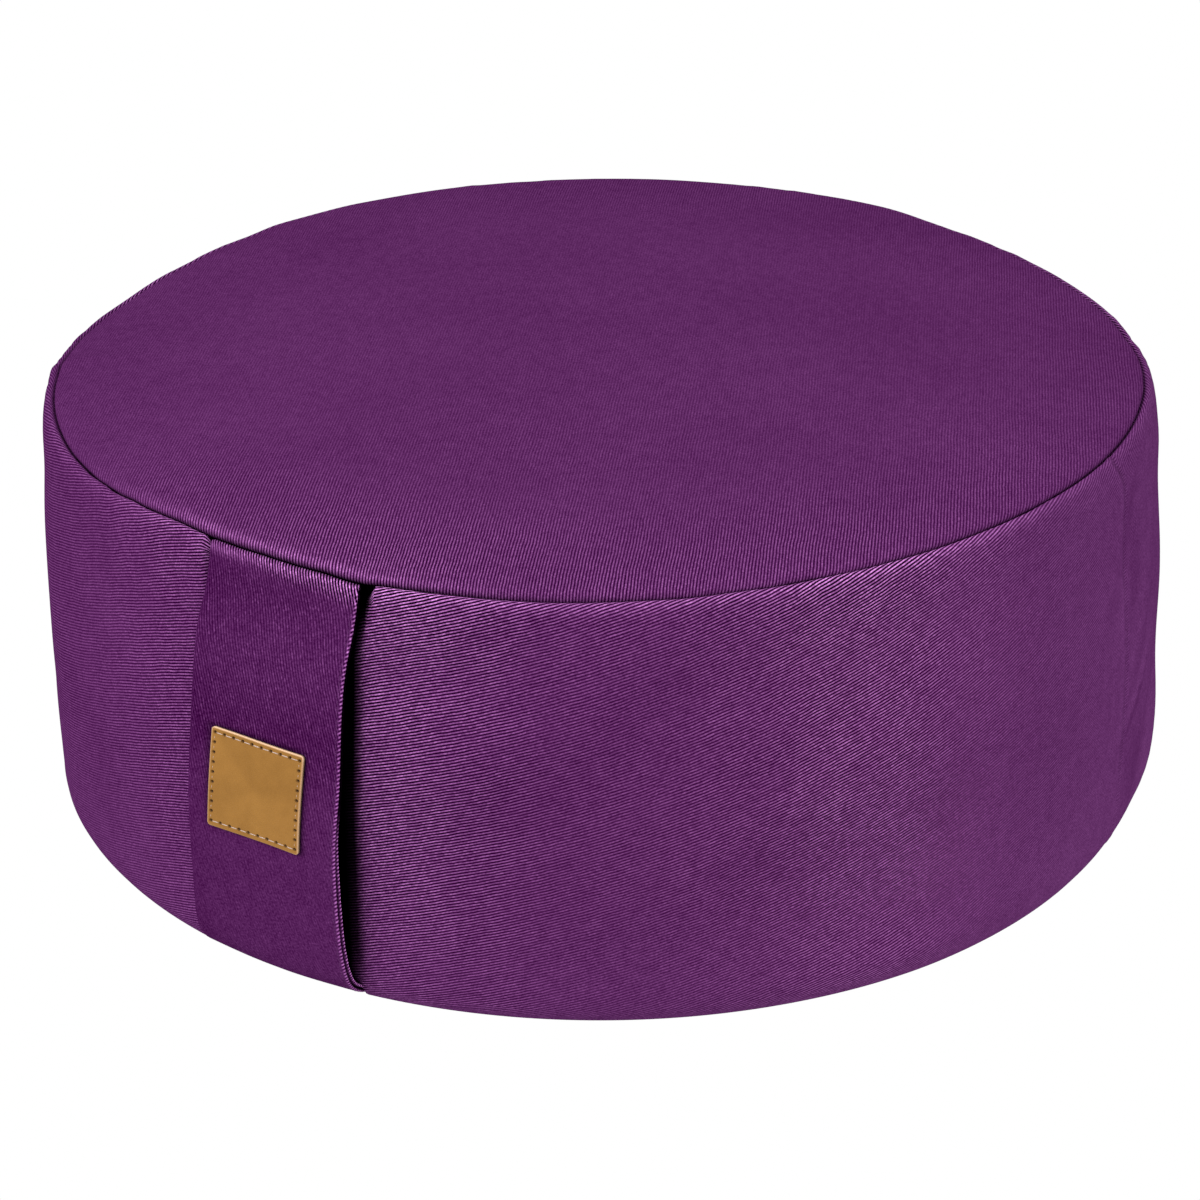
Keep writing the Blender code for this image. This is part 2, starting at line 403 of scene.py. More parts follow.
# The strap's path, needed here because the band is pressed in where the strap is sewn over it:
# how far out and how high its outer face runs, and how far it reaches to the left and right.
STRAP_THICKNESS = 3.0 * MM
StrapRow = namedtuple("StrapRow", "out height left right")
STRAP = table(
    StrapRow,
    (187.6, 152.1, 28.6, 28.3),
    (190.2, 152.4, 28.6, 28.3),
    (191.9, 153.7, 28.6, 28.3),
    (193.3, 153.3, 28.5, 28.3),
    (194.5, 149.2, 28.5, 28.3),
    (196.2, 139, 28.9, 28.1),
    (199.5, 127, 29.9, 27.8),
    (203.1, 109, 30.2, 27.8),
    (206.5, 88, 30.1, 28.5),
    (208.7, 69, 30.0, 28.0),
    (209.6, 50, 29.7, 28.2),
    (209.1, 33, 30.2, 28.7),
    (207.2, 20, 31.5, 28.6),
    (203.4, 12.4, 32.6, 27.9),
    (197.0, 7.0, 32.8, 27.2),
    (190.2, 4.0, 32.6, 26.6),
)
STRAP_PATH_SPACING = 0.8 * MM
NORMAL_EVENED_OVER = 1.2 * MM
ROUND_END = 40 * MM
FOOT_TILT = 0.02
FOOT_FROM = 100 * MM
FOOT_OVER = 40 * MM


class StrapPath:
    """The strap's outer face: a place on it from a distance along and a distance across."""

    def __init__(self, rows):
        fine = smooth_path(rows, STRAP_PATH_SPACING)
        self.points = [Vector((out * MM, height * MM)) for out, height, _, _ in fine]
        self.edges = [Vector((-left * MM, right * MM)) for _, _, left, right in fine]
        self.distances = [0.0]
        for start, end in zip(self.points, self.points[1:]):
            self.distances.append(self.distances[-1] + (end - start).length)
        self.length = self.distances[-1]

    def index_at(self, along):
        low, high = 0, len(self.points) - 2
        while low < high:
            middle = (low + high) // 2
            if self.distances[middle + 1] >= along:
                high = middle
            else:
                low = middle + 1
        return low

    def place(self, along):
        """(point, outward direction, left and right edge) at this distance along."""
        index = self.index_at(along)
        start = self.points[index]
        step = self.points[index + 1] - start
        share = (along - self.distances[index]) / step.length
        edges = self.edges[index].lerp(self.edges[index + 1], share)
        return start + step * share, self.outward(along), edges

    def outward(self, along):
        """The direction out of the strap's face, evened over a few millimetres."""
        low = max(along - NORMAL_EVENED_OVER, 0)
        high = min(along + NORMAL_EVENED_OVER, self.length)
        before = self.points[self.index_at(low)]
        after = self.points[self.index_at(high) + 1]
        direction = (after - before).normalized()
        return Vector((-direction.y, direction.x))

    def round_in(self, across, along):
        """How far the round seams draw the ends of the strap in, off its middle."""
        end_share = 1 - ease(min(along, self.length - along) / ROUND_END)
        return (SEAM_RADIUS - math.sqrt(SEAM_RADIUS ** 2 - across ** 2)) * end_share

    def bend(self, across, along, outward):
        """Place of a point of the flat tape, before it settles."""
        point, normal, _ = self.place(along)
        point = point + normal * outward
        height = point.y - FOOT_TILT * across * ease((along - FOOT_FROM) / FOOT_OVER)
        return Vector((across, self.round_in(across, along) - point.x, height))

    def along_at_height(self, height):
        """Distance along where the outer face comes down through this height."""
        found = [
            (distance, start, end)
            for distance, start, end in zip(self.distances, self.points, self.points[1:])
            if start.y >= height > end.y
        ]
        distance, start, end = found[-1]
        return distance + (end - start).length * (start.y - height) / (start.y - end.y)


strap_path = StrapPath(STRAP)


# Where the band lies under the strap's sewn top end, from the furrow outwards.
UNDER_STRAP_TOP = (Section(184, 148.4), Section(189.6, 148.4), Section(191.2, 147.2))
UNDER_STRAP_FROM = 15 * MM
UNDER_STRAP_STEP = 2 * MM
UNDER_STRAP_GAP = 0.5 * MM
UNDER_STRAP_HALF_WIDTH = 32 * MM
NEAR_STRAP_OUT = 150 * MM
NEAR_STRAP_ACROSS = 45 * MM
SINKS_OVER = 2 * MM

# Of the band near the strap, by height: where its left part sinks under the strap, and where
# the painted black shadow of the slot begins to fade and ends at the strap's right.
SlotRow = namedtuple("SlotRow", "height left black clear")
SLOT = table(
    SlotRow,
    (155, -28.5, 28.6, 34.6),
    (149, -28.5, 30.0, 34.2),
    (140, -28.5, 28.6, 32.6),
    (124, -28.5, 27.4, 32.0),
    (112, -28.5, 27.3, 32.4),
    (60, -28.5, 27.0, 31.8),
    (24, -29.0, 26.4, 31.2),
    (12, -29.0, 24.6, 29.4),
    (0, -29.0, 20.0, 24.0),
)


def slot_at(height):
    """The slot's three places at this height, in metres."""
    for high, low in zip(SLOT, SLOT[1:]):
        if height / MM >= low.height:
            share = min((high.height - height / MM) / (high.height - low.height), 1)
            return [(a + (b - a) * max(share, 0)) * MM for a, b in zip(high[1:], low[1:])]
    return [place * MM for place in SLOT[-1][1:]]


def under_strap(path):
    """The line, seen from the side, that the band stays inside of under the strap."""
    guide = [Vector((row.radius * MM, row.height * MM)) for row in UNDER_STRAP_TOP]
    along = UNDER_STRAP_FROM
    while along < path.length:
        outer, normal, _ = path.place(along)
        guide.append(outer - normal * (STRAP_THICKNESS + UNDER_STRAP_GAP))
        along += UNDER_STRAP_STEP
    return guide


def nearest_on(guide, here):
    """(nearest point of the line, how far here lies outside it)."""
    best = None
    for start, end in zip(guide, guide[1:]):
        step = end - start
        share = min(max((here - start).dot(step) / step.length_squared, 0), 1)
        nearest = start + step * share
        distance = (here - nearest).length
        if best is None or distance < best[0]:
            outward = Vector((-step.y, step.x)).normalized()
            best = (distance, nearest, (here - nearest).dot(outward))
    return best[1], best[2]


def pressed_under_strap(point, path, guide):
    """A point of the band, kept inside the strap's inner face."""
    if point.y > -NEAR_STRAP_OUT or abs(point.x) > NEAR_STRAP_ACROSS:
        return point
    along = 0 if point.z > SEAM_HEIGHT / 2 else path.length
    across = max(-UNDER_STRAP_HALF_WIDTH, min(point.x, UNDER_STRAP_HALF_WIDTH))
    round_in = path.round_in(across, along)
    near_end = ease(1 - min(SEAM_HEIGHT - point.z, point.z) / ROUND_END)
    here = Vector((round_in * near_end - point.y, point.z))
    nearest, outside = nearest_on(guide, here)
    if outside <= 0:
        return point
    left, black, clear = slot_at(point.z)
    past_left = (left - point.x) / SINKS_OVER
    past_right = (point.x - black) / (clear - black)
    share = 1 - ease(max(past_left, past_right, 0))
    return point + Vector((0, here.x - nearest.x, nearest.y - here.y)) * share


def drawn_azimuth(azimuth):
    """Draws the mesh's columns together at a few azimuths."""
    drawn = azimuth
    for centre in FINE_COLUMNS_AT:
        turn = turn_from(azimuth, centre)
        drawn -= FINE_COLUMNS_PULL * turn * hump(turn, FINE_COLUMNS_HALF_ANGLE)
    return drawn


SLOT_SHADE_LEFT = 2 * MM
SLOT_SHADE_OVER = 1.5 * MM


def painted_slot_shadow(point):
    """1 in the slot's painted black shadow behind the strap, fading out to the strap's right."""
    if point.y > 0:
        return 0
    left, black, clear = slot_at(point.z)
    past_left = (left + SLOT_SHADE_LEFT - point.x) / SLOT_SHADE_OVER
    past_right = (point.x - black) / (clear - black)
    return 1 - ease(max(past_left, past_right))


# The side seam is a fine line of painted shade, with a painted highlight on the lip at its left.
# Near the top it is plainer, and the top seam pulls it over. It is lost near the foot, and the
# cloth at its right gets painted shade in two places.
NEAR_TOP_FROM_MM = 134
NEAR_TOP_OVER_MM = 18
SIDE_SEAM_PULL = 2.6
SIDE_SEAM_PULL_HALF_ANGLE = 7
SIDE_SEAM_DARK = 0.16
SIDE_SEAM_DARKER_AT_TOP = 0.22
SIDE_SEAM_HALF_WIDTH_MM = 0.5
SIDE_SEAM_LOST_MM = 24
LIP_LIGHT = 0.035
LIP_LEFT_MM = 1.5
LIP_HALF_WIDTH_MM = 0.8

Shaded = namedtuple("Shaded", "right_mm height_mm half_width_mm half_height_mm dark")
SHADED = (
    Shaded(9, 112, 7, 20, 0.04),
    Shaded(16, 34, 12, 20, 0.04),
)


def near_top(height):
    """0 to 1 over the band's last centimetres below the top seam."""
    return min(max(height / MM - NEAR_TOP_FROM_MM, 0) / NEAR_TOP_OVER_MM, 1)


def side_seam_pull(azimuth, height):
    """How many degrees the top seam pulls the side seam towards the strap, near the top."""
    beside = hump(turn_from(azimuth, SIDE_SEAM), SIDE_SEAM_PULL_HALF_ANGLE)
    return SIDE_SEAM_PULL * near_top(height) ** 2 * beside


def side_seam_look(azimuth, height):
    """(painted shade, painted light and shade) of the side seam and of the cloth beside it."""
    right = math.radians(turn_from(azimuth, SIDE_SEAM)) * BAND_RADIUS / MM
    plain = SIDE_SEAM_DARK + SIDE_SEAM_DARKER_AT_TOP * near_top(height)
    plain *= ease((height / MM - SIDE_SEAM_LOST_MM) / SIDE_SEAM_LOST_MM)
    tint = LIP_LIGHT * hump(right + LIP_LEFT_MM, LIP_HALF_WIDTH_MM)
    for place in SHADED:
        beside = hump(right - place.right_mm, place.half_width_mm)
        tint -= place.dark * beside * hump(height / MM - place.height_mm, place.half_height_mm)
    return plain * hump(right, SIDE_SEAM_HALF_WIDTH_MM), tint


# Half the furrow's width on the disc's side and on the band's, where its painted shade is full.
FURROW_ON_DISC_MM = 1.3
FURROW_ON_BAND_MM = 1.7


def painted_furrow_shade(from_seam, dark, dark_mm):
    """Painted shade of the furrow, this far from its bottom: negative on the top disc."""
    if from_seam < 0:
        return dark * (1 - ease((-from_seam / MM - FURROW_ON_DISC_MM) / dark_mm))
    return dark * (1 - ease((from_seam / MM - FURROW_ON_BAND_MM) / FURROW_ON_BAND_MM))


# The lines of the top disc show faintly in its middle, and less towards its far side. They are
# plainest at the rim, with painted highlights on the tips where the cloth turns into the furrow
# before the strap, and the rim is painted lighter at the front and darker at the back.
TOP_SHOWS = 0.10
TOP_SHOWS_LESS_BEHIND = 0.07
TOP_FRONT = 20
TOP_INNER = 120 * MM
TOP_OUTER = 66 * MM
TIPS_LIGHT = 0.11
TIPS_AZIMUTH = -2
TIPS_HALF_ANGLE = 18
RIM_TINT = 0.015

# On the band they are plainest below the top seam, where it is stretched and its edge gets a
# painted highlight, and fade to the foot, where the cloth is a little lighter.
STRETCHED_LIGHT = 0.12
FOOT_REACH = 80 * MM
FOOT_SHOWS = 0.6
FOOT_LIGHT = 0.016


def top_twill_look(azimuth, reach, from_seam, rim):
    """(how plainly the twill lines show, how much painted light and shade it gets) on a disc."""
    behind = 0.5 - 0.5 * math.cos(math.radians(azimuth - TOP_FRONT))
    inner = ease(reach / TOP_INNER)
    plain = TOP_SHOWS - TOP_SHOWS_LESS_BEHIND * behind * inner
    at_rim = 0.2 * inner + 0.8 * ease((reach - TOP_INNER) / TOP_OUTER)
    tips = TIPS_LIGHT * hump(from_seam + 5.0 * MM, 2.0 * MM)
    tips *= hump(turn_from(azimuth, TIPS_AZIMUTH), TIPS_HALF_ANGLE)
    tint = RIM_TINT * at_rim * (1 - 2 * behind)
    return plain + rim * at_rim + 2 * tips, tips + tint


def band_twill_look(height, from_seam, band, tint, light):
    """The same on the band, with a painted highlight on its stretched edge below the seam."""
    stretched = light * hump(from_seam - 5.4 * MM, 2.2 * MM)
    below_seam = hump(from_seam - 5 * MM, 14 * MM)
    risen = ease(height / FOOT_REACH)
    shows = FOOT_SHOWS + (1 - FOOT_SHOWS) * risen
    tint += FOOT_LIGHT * (1 - risen)
    shows = band * shows * (1 + 0.3 * below_seam) + 0.3 * stretched
    return shows, tint + STRETCHED_LIGHT * stretched


def twill_look(azimuth, point, from_seam, on_band):
    """The same at any point of the cushion."""
    band, rim, tint = twill_shows.at(azimuth)
    if on_band:
        return band_twill_look(point.z, from_seam, band, tint, seam.at(azimuth)[3])
    return top_twill_look(azimuth, point.xy.length, from_seam, rim)


PUCKER_HEIGHT = 0.75 * MM


def pucker(azimuth, from_seam):
    """The seam gathers the cloth a little: small uneven bumps that die out away from it."""
    arc = math.radians(azimuth) * SEAM_RADIUS / MM
    ring = Vector((math.cos(math.radians(azimuth)), math.sin(math.radians(azimuth)), 0))
    uneven = noise.noise(ring * 21) + 0.7 * noise.noise(ring * 38 + Vector((3, 1, 7)))
    broad = 0.5 + noise.noise(ring * 4 + Vector((9, 2, 4)))
    reach = (7 + 4 * math.sin(arc * 0.05)) * MM
    return PUCKER_HEIGHT * uneven * broad * hump(from_seam - 4 * MM, reach)


def pushed_out(point, distance):
    """A point of the band, moved this far out from the cushion's axis."""
    share = 1 + distance / BAND_RADIUS
    return Vector((point.x * share, point.y * share, point.z))


def side_seam_rise(azimuth):
    """The side seam is a fine furrow with a low lip beside it."""
    dip = 0.45 * MM * hump(turn_from(azimuth, SIDE_SEAM), 0.22)
    return 0.25 * MM * hump(turn_from(azimuth, SIDE_SEAM + 0.7), 0.5) - dip


def finished_mesh(name, bm):
    mesh = bpy.data.meshes.new(name)
    bm.to_mesh(mesh)
    bm.free()
    mesh.shade_smooth()
    piece = bpy.data.objects.new(name, mesh)
    bpy.context.scene.collection.objects.link(piece)
    return piece


# How steeply the twill lines rise on the band, and how they are turned on the discs.
BAND_TWILL_RISE = 18.5
TOP_TWILL_TURN = 115
BOTTOM_TWILL_TURN = 40


def thread_coordinates(right, up, line_angle):
    """Distances along and across the twill lines, which rise at this angle."""
    angle = math.radians(line_angle)
    return (
        right * math.cos(angle) + up * math.sin(angle),
        up * math.cos(angle) - right * math.sin(angle),
    )


def cushion_mesh():
    top = smooth_path(TOP_DISC, ROW_SPACING)
    band = smooth_path(BAND, ROW_SPACING)
    bottom = smooth_path(BOTTOM_DISC, 3 * ROW_SPACING)
    section = top + band[1:] + bottom[1:]
    bm = bmesh.new()
    along_layer = bm.verts.layers.float.new("along")
    show_layer = bm.verts.layers.float.new("twill_shows")
    tint_layer = bm.verts.layers.float.new("tint")
    shade_layer = bm.verts.layers.float.new("shade")
    verts = []
    along = 0.0
    seam_at = []
    for number, (radius, height) in enumerate(section):
        if number:
            along += math.dist(section[number - 1], section[number]) * MM
        vert = bm.verts.new((0, -radius * MM, height * MM))
        vert[along_layer] = along
        verts.append(vert)
        if number in (len(top) - 1, len(top) + len(band) - 2):
            seam_at.append(along)
    edges = [bm.edges.new(pair) for pair in zip(verts, verts[1:])]
    upper_seam, lower_seam = seam_at
    bmesh.ops.spin(
        bm, geom=verts + edges, cent=(0, 0, 0), axis=(0, 0, 1),
        angle=math.tau, steps=COLUMNS, use_merge=True,
    )
    bmesh.ops.remove_doubles(bm, verts=bm.verts, dist=1e-6)
    bmesh.ops.recalc_face_normals(bm, faces=bm.faces)

    for vert in bm.verts:
        radius = math.hypot(vert.co.x, vert.co.y)
        if radius:
            azimuth = math.radians(drawn_azimuth(azimuth_of(vert.co)))
            vert.co = Vector((radius * math.sin(azimuth), -radius * math.cos(azimuth), vert.co.z))

    uv_layer = bm.loops.layers.uv.new("cloth")
    guide = under_strap(strap_path)
    for face in bm.faces:
        along = sum(vert[along_layer] for vert in face.verts) / len(face.verts)
        centre = face.calc_center_median()
        centre_turn = (azimuth_of(centre) - SIDE_SEAM) % 360
        for loop in face.loops:
            vert = loop.vert
            if upper_seam < along < lower_seam:
                turn = centre_turn + turn_from(azimuth_of(vert.co), SIDE_SEAM + centre_turn)
                right = math.radians(turn) * BAND_RADIUS
                uv = thread_coordinates(right, -vert[along_layer], BAND_TWILL_RISE)
            else:
                on_top = along < upper_seam
                line_angle = TOP_TWILL_TURN if on_top else BOTTOM_TWILL_TURN
                direction = Vector((vert.co.x, vert.co.y))
                if direction.length:
                    direction.normalize()
                reach = vert[along_layer] if on_top else vert.co.xy.length
                uv = thread_coordinates(direction.x * reach, direction.y * reach, line_angle)
            loop[uv_layer].uv = uv

    for vert in bm.verts:
        along = vert[along_layer]
        azimuth = azimuth_of(vert.co)
        point = vert.co.copy()
        on_band = upper_seam < along < lower_seam
        # Painted shade in the furrow, and on the band in the slot behind the strap and along the
        # side seam; the tint gets painted light and shade by the side seam and on the creases.
        _, dark, dark_mm, _ = seam.at(azimuth)
        shade = painted_furrow_shade(along - upper_seam, dark, dark_mm)
        vert[show_layer], vert[tint_layer] = twill_look(
            azimuth, point, along - upper_seam, on_band
        )
        if on_band:
            line, lip = side_seam_look(azimuth, point.z)
            shade = max(shade, line, painted_slot_shadow(point))
            vert[tint_layer] += lip + painted_crease_light(azimuth, point.z)
            pull = math.radians(side_seam_pull(azimuth, point.z))
            point = pressed_under_strap(point, strap_path, guide)
            point.rotate(Matrix.Rotation(-pull, 3, "Z"))
        vert[shade_layer] = shade
        point = settle_point(point, SWELLS + (STRAP_HOLLOW,), creased=True)
        from_seam = abs(along - upper_seam) - 6 * MM
        if 0 < along < lower_seam:
            rise = pucker(azimuth, from_seam)
            if along < upper_seam:
                point.z += rise
            else:
                point = pushed_out(point, rise)
                point = pushed_out(point, side_seam_rise(azimuth))
        vert.co = point
    return finished_mesh("filled_cushion", bm)


class Wire:
    """One output in a material's node tree. Arithmetic on wires adds Math nodes."""

    def __init__(self, finish, socket):
        self.finish = finish
        self.socket = socket

    def math(self, operation, *others):
        return self.finish.node("Math", (self, *others), operation=operation)

    def __add__(self, other):
        return self.math("ADD", other)

    def __mul__(self, other):
        return self.math("MULTIPLY", other)

    def __sub__(self, other):
        return self.math("SUBTRACT", other)

    def __rsub__(self, other):
        return self.finish.node("Math", (other, self), operation="SUBTRACT")

    def __truediv__(self, other):
        return self.math("DIVIDE", other)

    def __pow__(self, other):
        return self.math("POWER", other)

    __radd__ = __add__
    __rmul__ = __mul__

    def smooth(self, low, high):
        """0 below low, 1 above high, with a soft step between them."""
        inputs = {"Value": self, "From Min": low, "From Max": high}
        return self.finish.node("MapRange", inputs, interpolation_type="SMOOTHSTEP")


class Finish:
    """A material under construction. All its nodes come from one method."""

    def __init__(self, name, roughness, specular):
        self.material = bpy.data.materials.new(name)
        self.material.use_nodes = True
        self.tree = self.material.node_tree
        self.shader = self.tree.nodes["Principled BSDF"]
        self.shader.inputs["Roughness"].default_value = roughness
        self.shader.inputs["Specular IOR Level"].default_value = specular

    def node(self, kind, inputs=(), output=0, stops=(), **settings):
        """Adds a node with these settings, then gives its sockets their values or links."""
        node = self.tree.nodes.new("ShaderNode" + kind)
        for name, value in settings.items():
            setattr(node, name, value)
        if stops:
            self.set_stops(node.color_ramp.elements, stops)
        pairs = inputs.items() if isinstance(inputs, dict) else enumerate(inputs)
        for name, value in pairs:
            self.plug(node.inputs[name], value)
        return Wire(self, node.outputs[output])

    def set_stops(self, elements, stops):
        while len(elements) < len(stops):
            elements.new(1)
        for element, (position, colour) in zip(elements, stops):
            element.position = position
            element.color = (*colour, 1)

    def plug(self, socket, value):
        if isinstance(value, Wire):
            self.tree.links.new(value.socket, socket)
        elif isinstance(value, tuple) and socket.type == "RGBA":
            socket.default_value = (*value, 1)
        else:
            socket.default_value = value

    def set(self, **wires):
        """Plugs wires into the shader, by its sockets' names with _ for a space."""
        for name, wire in wires.items():
            self.plug(self.shader.inputs[name.replace("_", " ")], wire)

    def noise(self, vector, scale, detail=2.0, roughness=0.5):
        inputs = {"Vector": vector, "Scale": scale, "Detail": detail, "Roughness": roughness}
        return self.node("TexNoise", inputs)

    def attribute(self, name):
        return self.node("Attribute", output=2, attribute_name=name)

    def split(self, vector):
        return [self.node("SeparateXYZ", (vector,), output=axis) for axis in range(3)]

    def mix(self, share, first, second):
        """One colour turning into another. Its colour sockets are numbers 6 and 7, and 2 out."""
        inputs = {0: share, 6: first, 7: second}
        return self.node("Mix", inputs, output=2, data_type="RGBA")

    def bump(self, height, distance):
        return self.node("Bump", {"Height": height, "Distance": distance, "Strength": 1.0})


# The dye: at any lightness, green is this far below red and blue this far above it, as shown
# on a screen, and the light crests of the twill are richer still. A level is how light the
# cloth looks, 0 black and 1 white.
GREEN_BELOW_RED = 0.208
CREST_RICHER = 0.22
BLUE_ABOVE_RED = 0.012
LIGHT_ON_CLOTH = 1.45
BAND_LEVEL = 0.385
DYE_STOPS = 12
BLACK = (0.0, 0.0, 0.0)


def linear(shown):
    """Scene light for a value as shown on a screen."""
    shown = max(shown, 0.0)
    return shown / 12.92 if shown < 0.04 else ((shown + 0.055) / 1.055) ** 2.4


def dyed(level):
    """The cloth's own colour where it should look this light."""
    richer = CREST_RICHER * max(level - BAND_LEVEL, 0)
    shown = (level, level - GREEN_BELOW_RED - richer, level + BLUE_ABOVE_RED)
    return tuple(min(linear(channel) / LIGHT_ON_CLOTH, 0.9) for channel in shown)


# A twill's lines waver broadly and finely, and each line's floats start a little later than the
# last one's. How much light and dark the lines, the single floats and the cloth's unevenness
# bring, the light of the lines and floats being partly painted highlight, and the most painted
# glint that a fleck can get.
BROAD_WAVER = 1.3 * MM
FINE_WAVER = 0.45 * MM
FLOAT_SHIFT = 0.382
BEAD_SHARE = 0.2
LINE_CONTRAST = 0.64
FLOAT_CONTRAST = 0.22
MOTTLE_CONTRAST = 0.08
CLOUD_CONTRAST = 0.05
FLECK_MOST = 0.16
TWILL_RELIEF = 0.2 * MM


def twill(finish, uv, pitch, float_length):
    """Ridge height from 0 to 1, and a random number for each float, of a twill's surface."""
    along, across, _ = finish.split(uv)
    waver = (finish.noise(uv, 30) - 0.5) * BROAD_WAVER + (finish.noise(uv, 210) - 0.5) * FINE_WAVER
    across = (across + waver) / pitch
    ridge = across.math("FLOOR")
    step = along / float_length + ridge * FLOAT_SHIFT
    number = step.math("FLOOR")
    cell = finish.node("CombineXYZ", (ridge, number, 0.0))
    chance = finish.node("TexWhiteNoise", {"Vector": cell})
    crest = 0.5 - ((across - ridge) * math.tau).math("COSINE") * 0.5
    bead = ((step - number) * math.pi).math("SINE") ** 0.6
    return crest.smooth(0.15, 0.85) * (1 - BEAD_SHARE + bead * BEAD_SHARE), chance


def dyed_twill(name, pitch, float_length, level, grain, flecks=0.0, edging=None):
    """Twill whose show, tint and shade come with the mesh, with painted light and shade in them.

    Flecks are floats with a painted glint, and edging gives the painted highlight of an edge.
    """
    finish = Finish(name, roughness=0.95, specular=0.0)
    uv = finish.node("UVMap", uv_map="cloth")
    place = finish.node("TexCoord", output=3)
    height, chance = twill(finish, uv, pitch, float_length)
    patchy = finish.noise(place, 17, detail=3)
    streaky = finish.noise(uv, 95, detail=1)
    show = finish.attribute("twill_shows") * (0.45 + patchy * 0.6 + streaky * 0.5)
    speck = finish.noise(uv, 1200, detail=2, roughness=0.7) - 0.5
    mottle = finish.noise(place, 240, detail=2) - 0.5
    tone = (
        level
        + finish.attribute("tint")
        + (height - 0.5) * show * LINE_CONTRAST
        + (chance - 0.5) * height * show * FLOAT_CONTRAST
        + speck * grain
        + chance.smooth(0.75, 0.95) * height * show.math("MINIMUM", FLECK_MOST) * flecks
        + mottle * MOTTLE_CONTRAST
        + (patchy - 0.5) * CLOUD_CONTRAST
    )
    if edging:
        tone = tone + edging(finish)
    tones = [number / (DYE_STOPS - 1) for number in range(DYE_STOPS)]
    stops = [(lightness, dyed(lightness)) for lightness in tones]
    colour = finish.node("ValToRGB", (tone,), stops=stops)
    # The mesh's shade is painted shade, mixing the colour towards black.
    finish.set(
        Base_Color=finish.mix(finish.attribute("shade"), colour, BLACK),
        Normal=finish.bump(height * (0.35 + show * 0.65), TWILL_RELIEF),
    )
    return finish.material


cushion = cushion_mesh()
cushion.data.materials.append(
    dyed_twill("purple_twill", 1.01 * MM, 1.3 * MM, level=BAND_LEVEL, grain=0.3)
)
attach(cushion, "root")
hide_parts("cushion")


# ---- Carry strap -----------------------------------------------------------------------------
# A strip of the same twill folded double along its left edge. The raw edges are turned in at
# the right and sewn shut with one row of topstitching, and both ends are caught in the seams.
STRAP_STEP = 0.6 * MM
STRAP_HALF_WIDTH = 28 * MM
STRAP_TWILL_ANGLE = 106
# Painted shade: the strap is set darker than the band, though it is the same twill.
STRAP_LEVEL = 0.32
STITCH_IN = 1.5 * MM
STITCH_PITCH = 2.1 * MM
STITCH_LENGTH = 1.5 * MM
STITCH_SLANT = 0.3 * MM
STITCH_RADIUS = 0.17 * MM
STITCH_SUNK = 0.12 * MM
BEAD_PITCH = 1.4 * MM
BEAD_SLANT = 2.2 * MM

# The leather patch on it, which is a little less high than wide. Painted shade darkens the cloth
# round it, and more painted shade lies above it.
PATCH_SIDE = 35.7 * MM
PATCH_SQUASH = 0.955
PATCH_THICKNESS = 1.3 * MM
PATCH_CORNER = 1.2 * MM
PATCH_SHIFT = -2.45 * MM
PATCH_TURN = math.radians(1.4)
PATCH_CELLS = 120
PATCH_GAP = 0.4 * MM
PATCH_DROP = 0.4 * MM
patch_low, patch_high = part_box("leather_patch")
patch_middle_along = strap_path.along_at_height((patch_low.z + patch_high.z) / 2 - PATCH_DROP)

# One turn round the tape, from the middle of its inner face: millimetres from the right edge,
# and out from the outer face. The notch at the right lies between the two turned-in edges.
Turn = namedtuple("Turn", "from_right out")
STRAP_SECTION = table(
    Turn,
    (-28, -3.0),
    (-42, -3.0),
    (-52, -3.0),
    (-54.6, -2.9),
    (-55.8, -2.2),
    (-56.0, -1.5),
    (-55.8, -0.8),
    (-54.6, -0.1),
    (-52, 0),
    (-42, 0),
    (-28, 0),
    (-14, 0),
    (-6, 0),
    (-3.4, 0),
    (-2.0, -0.08),
    (-1.1, -0.02),
    (-0.4, -0.2),
    (0, -0.55),
    (-0.35, -0.9),
    (-1.4, -1.0),
    (-2.4, -1.08),
    (-1.4, -1.16),
    (-0.3, -1.28),
    (0.1, -1.7),
    (-0.3, -2.1),
    (-1.4, -2.3),
    (-4.4, -2.8),
    (-14, -3.0),
    (-28, -3.0),
)


SLIT = 0.75 * MM
SLIT_MIDDLE_OUT = -1.08
SLIT_LOWER_EDGE = -1.1
WAVE = 0.7 * MM


def slit(along):
    """How far the two turned-in edges stand apart: closed at the top, open lower down."""
    closing = 0.4 * ease((along - 140 * MM) / (20 * MM))
    return SLIT * ease((along - 88 * MM) / (22 * MM)) * (1 - closing)


def strap_wave(across, along):
    """Soft unevenness of the strap's face."""
    where = Vector((across / (24 * MM), along / (30 * MM), 0.6))
    ends = ease(along / (14 * MM)) * ease((strap_path.length - along) / (14 * MM))
    return WAVE * noise.noise(where) * ends


def share_to_left(from_right):
    """0 at the tape's right edge and 1 at its left."""
    return min(max(-from_right / (2 * STRAP_HALF_WIDTH), 0), 1)


# How plainly the strap's twill shows: hardly low down, more above, most in the ribs at the seam,
# where their light is painted highlight.
LOW_SHOWS = 0.04
UPPER_SHOWS = 0.14
RIBS_SHOW = 0.9

# How far the ribs run down from the seam at the right edge, how much less at the left, and how
# far the seam's painted shade reaches down the strap's face.
RIBS_REACH_MM = 16
RIBS_LESS_MM = 6
SEAM_SHADE_REACH_MM = 4.3
SEAM_SHADE_LESS_MM = 0.9


